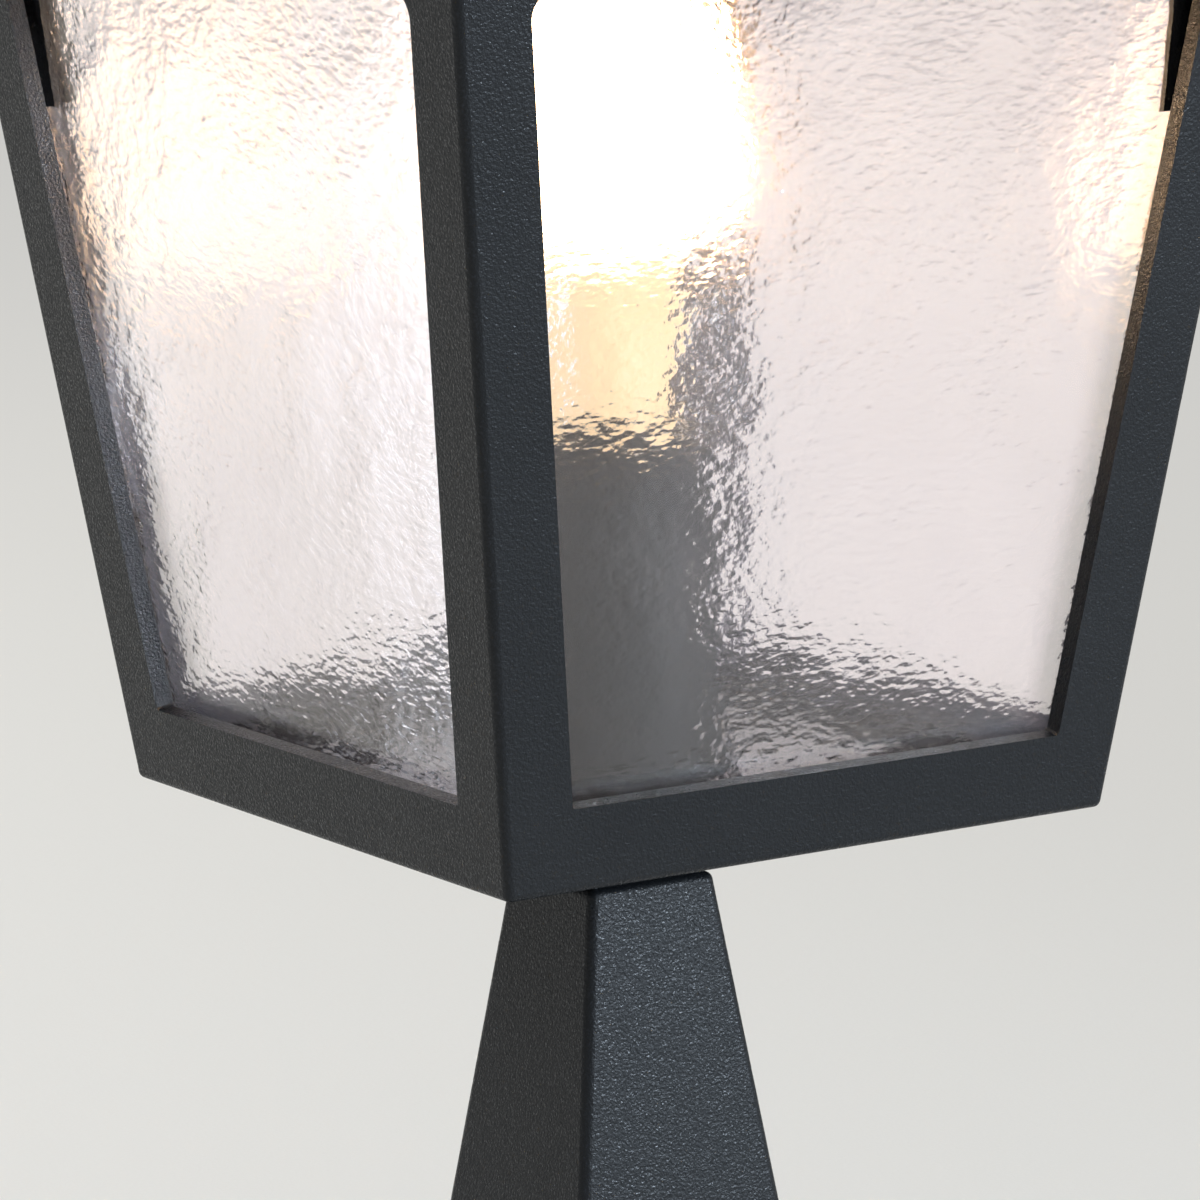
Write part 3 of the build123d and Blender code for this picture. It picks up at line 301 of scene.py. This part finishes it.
# Each band of waves: its shortest and longest wave in metres, its weight, and how many waves it has.
wave_bands = ((0.014, 0.034, 1.0, 9), (0.0045, 0.010, 0.26, 14), (0.0026, 0.0040, 0.07, 16))


def unit(values):
    """Values scaled to run from 0 to 1."""
    return (values - values.min()) / (values.max() - values.min())


def rolled_waves(across, along, seed):
    """Height from 0 to 1 of a rolled surface: a sum of sine waves whose directions, lengths and phases
    are random within each band, where a band's weight falls with its length."""
    random = np.random.default_rng(seed)
    height = np.zeros_like(across)
    for shortest, longest, weight, count in wave_bands:
        for _ in range(count):
            direction = random.uniform(0, pi)
            length = random.uniform(shortest, longest)
            phase = random.uniform(0, 2 * pi)
            travel = across * cos(direction) + along * sin(direction)
            height += weight * np.sin(2 * pi * travel / length + phase) / count**0.5
    return unit(height)


def glass_pane(name, quarter_turns, seed):
    """A slab behind one window. A point is at (across, along) in the face's plane, and at a depth square
    to it; the outer side's depth grows by the rolled relief, which dies out where the seal bears."""
    rise_low = glass_low.z - cage_low.z
    rise_high = glass_high.z - cage_low.z
    share_along, share_across = np.meshgrid(
        np.linspace(0, 1, glass_rows), np.linspace(-1, 1, glass_columns), indexing="ij"
    )
    along = (rise_low + (rise_high - rise_low) * share_along) * slope
    half = face_half - window_stile + glass_lap + lean * along / slope
    across = half * share_across
    end_distance = np.minimum(along - along.min(), along.max() - along)
    edge_distance = np.minimum(half - np.abs(across), end_distance)
    fade = np.clip(edge_distance / glass_lap, 0, 1) ** 2
    outer_depth = wall_and_seal + glass_relief * fade * rolled_waves(across, along, seed)
    inner_depth = np.full_like(across, wall_and_seal + glass_thickness)

    def placed(depth):
        """From the face's plane to the lantern's frame, turned to the pane's side."""
        x = across
        y = -face_half - lean * along / slope + depth / slope
        z = cage_low.z + along / slope + depth * lean / slope
        for _ in range(quarter_turns):
            x, y = -y, x
        return np.stack([x, y, z], axis=-1)

    outer, inner = placed(outer_depth), placed(inner_depth)
    index = np.arange(glass_rows * glass_columns).reshape(glass_rows, glass_columns)
    corners = (index[:-1, :-1], index[:-1, 1:], index[1:, 1:], index[1:, :-1])
    quads = np.stack(corners, axis=-1).reshape(-1, 4)
    inner_quads = quads[:, ::-1] + index.size
    rim = np.concatenate([index[0, :-1], index[:-1, -1], index[-1, :0:-1], index[:0:-1, 0]])
    inner_rim = rim + index.size
    rim_quads = np.stack([np.roll(rim, -1), rim, inner_rim, np.roll(inner_rim, -1)], axis=-1)
    mesh = bpy.data.meshes.new(name)
    points = np.concatenate([outer.reshape(-1, 3), inner.reshape(-1, 3)])
    faces = np.concatenate([quads, inner_quads, rim_quads])
    mesh.from_pydata(points.tolist(), [], faces.tolist())
    face_number = np.arange(len(faces))
    mesh.polygons.foreach_set("use_smooth", face_number < len(quads) * 2)
    mesh.polygons.foreach_set("material_index", (face_number >= len(quads)).astype(np.int32))
    free = mesh.attributes.new("free_glass", "FLOAT", "POINT")
    clear_of_frame = np.clip((edge_distance - glass_lap) / glass_lap, 0, 1)
    free.data.foreach_set("value", np.tile(clear_of_frame.ravel(), 2).astype(np.float32))
    pane = bpy.data.objects.new(name, mesh)
    bpy.context.scene.collection.objects.link(pane)
    return pane


def light_passing(nodes, links, closure):
    """Lets the lamp's light through a glass surface, as clear glass does, and shows the closure to eyes."""
    through = nodes.new("ShaderNodeBsdfTransparent")
    through.inputs["Color"].default_value = (0.97, 0.95, 0.94, 1)
    ray = nodes.new("ShaderNodeLightPath")
    either = nodes.new("ShaderNodeMixShader")
    links.new(ray.outputs["Is Shadow Ray"], either.inputs["Fac"])
    links.new(closure, either.inputs[1])
    links.new(through.outputs["BSDF"], either.inputs[2])
    links.new(either.outputs["Shader"], nodes["Material Output"].inputs["Surface"])


glass_bending = 1.5


def clear_glass(nodes, roughness):
    """Clear soda glass, slightly warm."""
    nodes.remove(nodes["Principled BSDF"])
    clear = nodes.new("ShaderNodeBsdfGlass")
    clear.inputs["IOR"].default_value = glass_bending
    clear.inputs["Roughness"].default_value = roughness
    clear.inputs["Color"].default_value = (0.995, 0.985, 0.98, 1)
    return clear


glass_outside, nodes, links, _ = new_material("rolled_glass_outside")
clear = clear_glass(nodes, roughness=0.13)
ripple = object_noise(nodes, links, scale=560, detail=1.2, roughness=0.45, stretch=(0.65, 0.65, 1.25))
fine_ripple = object_noise(nodes, links, scale=1150, detail=1.0)
ripple_bump = relief(nodes, links, ripple, height=0.00030, strength=0.8)
emboss(nodes, links, clear, fine_ripple, height=0.00006, strength=0.8, below=ripple_bump)
light_passing(nodes, links, clear.outputs["BSDF"])

# The flat side towards the lamp has a faint bloom, and a painted glow clear of the frame: an even emission
# that stands in for the lamp's light spread through the sheet. Seen from within the glass, the same side
# spreads a weak halo round what lies behind it.
painted_glow_strength = 0.19
least_bloom, most_bloom = 0.07, 0.12
halo_share = 0.11

glass_inside, nodes, links, _ = new_material("rolled_glass_inside")
clear = clear_glass(nodes, roughness=0.02)
bloom = nodes.new("ShaderNodeBsdfDiffuse")
bloom.inputs["Color"].default_value = (0.60, 0.73, 1.0, 1)
halo = nodes.new("ShaderNodeBsdfRefraction")
halo.inputs["Color"].default_value = (1.0, 0.86, 0.80, 1)
halo.inputs["IOR"].default_value = glass_bending
halo.inputs["Roughness"].default_value = 0.42
# Painted glow: the glass itself gives off light, though it is no lamp, fading out towards the frame.
painted_glow = nodes.new("ShaderNodeEmission")
painted_glow.inputs["Color"].default_value = (1.0, 0.86, 0.95, 1)
free_glass = nodes.new("ShaderNodeAttribute")
free_glass.attribute_name = "free_glass"
painted_glow_reach = nodes.new("ShaderNodeMath")
painted_glow_reach.operation = "MULTIPLY"
painted_glow_reach.inputs[1].default_value = painted_glow_strength
links.new(free_glass.outputs["Fac"], painted_glow_reach.inputs[0])
links.new(painted_glow_reach.outputs["Value"], painted_glow.inputs["Strength"])
bloomed = nodes.new("ShaderNodeMixShader")
smudge = object_noise(nodes, links, scale=55, detail=4, roughness=0.6)
links.new(spread(nodes, links, smudge, least_bloom, most_bloom), bloomed.inputs["Fac"])
links.new(clear.outputs["BSDF"], bloomed.inputs[1])
links.new(bloom.outputs["BSDF"], bloomed.inputs[2])
with_painted_glow = nodes.new("ShaderNodeAddShader")
links.new(bloomed.outputs["Shader"], with_painted_glow.inputs[0])
links.new(painted_glow.outputs["Emission"], with_painted_glow.inputs[1])
hazed = nodes.new("ShaderNodeMixShader")
hazed.inputs["Fac"].default_value = halo_share
links.new(clear.outputs["BSDF"], hazed.inputs[1])
links.new(halo.outputs["BSDF"], hazed.inputs[2])
face_side = nodes.new("ShaderNodeNewGeometry")
either_side = nodes.new("ShaderNodeMixShader")
links.new(face_side.outputs["Backfacing"], either_side.inputs["Fac"])
links.new(with_painted_glow.outputs["Shader"], either_side.inputs[1])
links.new(hazed.outputs["Shader"], either_side.inputs[2])
light_passing(nodes, links, either_side.outputs["Shader"])

for quarter_turns, side in enumerate(("front", "right", "back", "left")):
    pane = glass_pane(f"glass_{side}", quarter_turns, seed=glass_seed + quarter_turns)
    pane.data.materials.append(glass_outside)
    pane.data.materials.append(glass_inside)
    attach(pane, "base")
    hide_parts(f"pane_{side}")

# ---------------------------------------------------------------- lampholder
# A glossy pressed tray on the floor plate, and a painted aluminium tube that hides a steatite holder. The
# holder is screwed to the hollow stem, with brass contacts at the bottom of its bore.
tray_paint, nodes, links, surface = new_material("floor_tray_paint")
dust = object_noise(nodes, links, scale=60, detail=5, roughness=0.6)
mottle(nodes, links, surface, dust, (0.016, 0.016, 0.017), (0.026, 0.026, 0.026))
links.new(spread(nodes, links, dust, low=0.08, high=0.17), surface.inputs["Roughness"])
surface.inputs["Coat Weight"].default_value = 0.8
surface.inputs["Coat Roughness"].default_value = 0.06
emboss(nodes, links, surface, object_noise(nodes, links, scale=260), height=0.00004, strength=0.5)
wear(("floor_tray",), tray_paint)

sleeve_paint, nodes, links, surface = new_material("holder_sleeve_paint")
rub = object_noise(nodes, links, scale=45, detail=4)
mottle(nodes, links, surface, rub, (0.034, 0.034, 0.035), (0.050, 0.049, 0.049))
emboss(nodes, links, surface, object_noise(nodes, links, scale=1400), height=0.00004, strength=0.5)
surface.inputs["Roughness"].default_value = 0.62
surface.inputs["Specular IOR Level"].default_value = 0.25
wear(("holder_sleeve",), sleeve_paint)

steatite, nodes, links, surface = new_material("holder_ceramic")
pores = object_noise(nodes, links, scale=1800, detail=3)
mottle(nodes, links, surface, pores, (0.80, 0.78, 0.73), (0.88, 0.87, 0.83))
emboss(nodes, links, surface, pores, height=0.00003, strength=0.5)
surface.inputs["Roughness"].default_value = 0.6
wear(("holder_body",), steatite)

# ---------------------------------------------------------------- lamp
# A frosted lamp that tapers to its tip like a candle's flame, blown thin and lit from inside: near white
# over its body, and yellower down its neck, where less of the light reaches. The neck is cemented into a
# plated thread.
lamp_low, lamp_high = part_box("bulb_glass")
lamp_steps = 96
lamp_around = 96
widest_radius = (lamp_high.x - lamp_low.x) / 2
widest_height = lamp_low.z + 0.046
shoulder_height = lamp_low.z + 0.020
neck_radius = 0.0126
lamp_gap = 0.0002
taper_bend = 1.5
taper_round = 0.51
least_radius = 1e-5


def closed_skin(name, rings):
    """A closed mesh from an array of rings of points, (rows, around, 3), capped at both ends by fans of
    their own middle points, so that the rings run once round the shape and the caps close it."""
    rows, around = rings.shape[:2]
    index = np.arange(rows * around).reshape(rows, around)
    beside = np.roll(index, -1, axis=1)
    sides = np.stack([index[:-1], beside[:-1], beside[1:], index[1:]], axis=-1).reshape(-1, 4)
    ends = rings[[0, -1]].mean(axis=1)
    low_end, high_end = rows * around, rows * around + 1
    low_cap = np.stack([np.full(around, low_end), beside[0], index[0]], axis=-1)
    high_cap = np.stack([np.full(around, high_end), index[-1], beside[-1]], axis=-1)
    mesh = bpy.data.meshes.new(name)
    points = np.concatenate([rings.reshape(-1, 3), ends])
    mesh.from_pydata(points.tolist(), [], sides.tolist() + low_cap.tolist() + high_cap.tolist())
    piece = bpy.data.objects.new(name, mesh)
    bpy.context.scene.collection.objects.link(piece)
    return piece


def lamp_skin():
    """A candle of revolution. Up to its widest ring the radius eases along a smooth step from the neck's,
    and over the share t of the rise above it the radius is the widest times (1 - t^bend)^round."""
    lamp_foot = lamp_low.z + lamp_gap
    z = lamp_foot + (lamp_high.z - lamp_foot) * np.sin(np.linspace(0, pi / 2, lamp_steps))
    ease = np.clip((z - shoulder_height) / (widest_height - shoulder_height), 0, 1)
    swell = neck_radius + (widest_radius - neck_radius) * ease**2 * (3 - 2 * ease)
    share = np.clip((z - widest_height) / (lamp_high.z - widest_height), 0, 1)
    taper = widest_radius * (1 - share**taper_bend) ** taper_round
    radius = np.maximum(np.where(z > widest_height, taper, swell), least_radius)
    angle = np.linspace(0, 2 * pi, lamp_around, endpoint=False)
    x = np.outer(radius, np.cos(angle))
    y = np.outer(radius, np.sin(angle))
    return np.stack([x, y, np.outer(z, np.ones_like(angle))], axis=-1)


glow_start = lamp_low.z + 0.030
glow_end = widest_height - 0.004
neck_glow, body_glow = 0.80, 16.0
neck_light, body_light = (1.0, 0.80, 0.52), (1.0, 0.66, 0.36)
# The surface colour is painted darker and browner down the neck: painted shade where less of the lamp's
# light reaches.
neck_shaded_skin, body_skin = (0.34, 0.20, 0.09), (0.9, 0.86, 0.78)

lit_glass, nodes, links, surface = new_material("lit_bulb_glass")
place = nodes.new("ShaderNodeTexCoord")
split = nodes.new("ShaderNodeSeparateXYZ")
links.new(place.outputs["Object"], split.inputs["Vector"])
glow_height = nodes.new("ShaderNodeMapRange")
glow_height.interpolation_type = "SMOOTHSTEP"
glow_height.inputs["From Min"].default_value = glow_start
glow_height.inputs["From Max"].default_value = glow_end
links.new(split.outputs["Z"], glow_height.inputs["Value"])
glow_power = nodes.new("ShaderNodeMapRange")
glow_power.inputs["To Min"].default_value = neck_glow
glow_power.inputs["To Max"].default_value = body_glow
links.new(glow_height.outputs["Result"], glow_power.inputs["Value"])
links.new(glow_power.outputs["Result"], surface.inputs["Emission Strength"])
for neck_colour, body_colour, socket in (
    (neck_light, body_light, "Emission Color"),
    (neck_shaded_skin, body_skin, "Base Color"),
):
    up_the_lamp = two_colours(
        nodes, links, glow_height.outputs["Result"], neck_colour, body_colour, start=0.0, end=0.8
    )
    links.new(up_the_lamp, surface.inputs[socket])
surface.inputs["Roughness"].default_value = 0.35
frosting = object_noise(nodes, links, scale=2200, detail=2)
emboss(nodes, links, surface, frosting, height=0.00002, strength=0.4)

lamp = closed_skin("lamp_glass", lamp_skin())
lamp.data.polygons.foreach_set("use_smooth", [True] * len(lamp.data.polygons))
lamp.data.materials.append(lit_glass)
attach(lamp, "bulb")
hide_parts("bulb_glass")

# The thread's shell is nickel-plated brass, with a black glass insulator and a brass contact below it.
# Inside, a pressed glass stem carries four filaments under a yellow phosphor.
nickel, nodes, links, surface = new_material("nickel_cap")
handling = object_noise(nodes, links, scale=300, detail=3)
mottle(nodes, links, surface, handling, (0.58, 0.56, 0.52), (0.70, 0.68, 0.64))
links.new(spread(nodes, links, handling, low=0.22, high=0.36), surface.inputs["Roughness"])
surface.inputs["Metallic"].default_value = 1.0
wear(("bulb_cap",), nickel)

insulator, nodes, links, surface = new_material("black_glass")
swirl = object_noise(nodes, links, scale=400, detail=2)
mottle(nodes, links, surface, swirl, (0.015, 0.015, 0.018), (0.03, 0.03, 0.034))
surface.inputs["Roughness"].default_value = 0.12
wear(("bulb_insulator",), insulator)

stem_glass, nodes, links, surface = new_material("lamp_stem_glass")
draw_marks = object_noise(nodes, links, scale=500, detail=2)
emboss(nodes, links, surface, draw_marks, height=0.00005, strength=0.5)
surface.inputs["Base Color"].default_value = (0.95, 0.95, 0.93, 1)
surface.inputs["Transmission Weight"].default_value = 1.0
surface.inputs["Roughness"].default_value = 0.05
wear(("filament_mount",), stem_glass)

phosphor, nodes, links, surface = new_material("lit_filament")
crumb = object_noise(nodes, links, scale=2500, detail=2)
mottle(nodes, links, surface, crumb, (0.85, 0.60, 0.25), (1.0, 0.78, 0.42))
surface.inputs["Emission Color"].default_value = (1.0, 0.66, 0.30, 1)
surface.inputs["Emission Strength"].default_value = 20.0
wear(("filaments",), phosphor)

# ---------------------------------------------------------------- brass and wiring
# Clamp screws, contacts and the earth screw are turned brass, slightly dulled. The terminal block, the
# holder's cup and the gland are moulded nylon, and the wires wear silicone sleeving.
brass, nodes, links, surface = new_material("brass")
tarnish = object_noise(nodes, links, scale=350, detail=4, roughness=0.6)
mottle(nodes, links, surface, tarnish, (0.56, 0.40, 0.17), (0.74, 0.58, 0.29))
links.new(spread(nodes, links, tarnish, low=0.25, high=0.42), surface.inputs["Roughness"])
surface.inputs["Metallic"].default_value = 1.0
wear(("terminal_screws", "holder_contacts", "earth_screw", "bulb_contact"), brass)


def moulded(name, dark, light, roughness, node_names):
    """Moulded plastic with a fine spark-eroded surface."""
    plastic, nodes, links, surface = new_material(name)
    spark = object_noise(nodes, links, scale=2400, detail=3, roughness=0.6)
    flow = object_noise(nodes, links, scale=70, detail=2)
    mottle(nodes, links, surface, flow, dark, light)
    emboss(nodes, links, surface, spark, height=0.00004, strength=0.6)
    surface.inputs["Roughness"].default_value = roughness
    wear(node_names, plastic)


moulded("black_plastic", (0.028, 0.028, 0.030), (0.038, 0.038, 0.040), 0.5, ("holder_cup", "cable_gland"))
moulded("terminal_plastic", (0.74, 0.73, 0.69), (0.82, 0.81, 0.77), 0.42, ("terminal_block",))
moulded("wire_sleeving", (0.24, 0.11, 0.06), (0.31, 0.15, 0.08), 0.38, ("lead_wires",))

# ---------------------------------------------------------------- reflector, pin and screws
# The reflector is bright rolled aluminium, with the mill's fine lines across it. The hinge pin, the rail's
# screws and the thumb screws are turned stainless steel, with the tool's rings round each.
rolled, nodes, links, surface = new_material("bright_aluminium")
mill_lines = object_noise(nodes, links, scale=700, detail=2, stretch=(0.02, 1, 1))
mottle(nodes, links, surface, mill_lines, (0.78, 0.78, 0.77), (0.86, 0.86, 0.85))
emboss(nodes, links, surface, mill_lines, height=0.00001, strength=0.5)
surface.inputs["Metallic"].default_value = 1.0
surface.inputs["Roughness"].default_value = 0.33
wear(("reflector", "reflector_rivets"), rolled)

stainless, nodes, links, surface = new_material("stainless_steel")
tool_rings = object_noise(nodes, links, scale=1300, detail=2, stretch=(0.15, 1, 0.15))
mottle(nodes, links, surface, tool_rings, (0.46, 0.46, 0.45), (0.60, 0.60, 0.59))
emboss(nodes, links, surface, tool_rings, height=0.00003, strength=0.5)
surface.inputs["Metallic"].default_value = 1.0
surface.inputs["Roughness"].default_value = 0.30
wear(("top_rail_screws", "hinge_pin", "thumb_screw_left", "thumb_screw_right"), stainless)
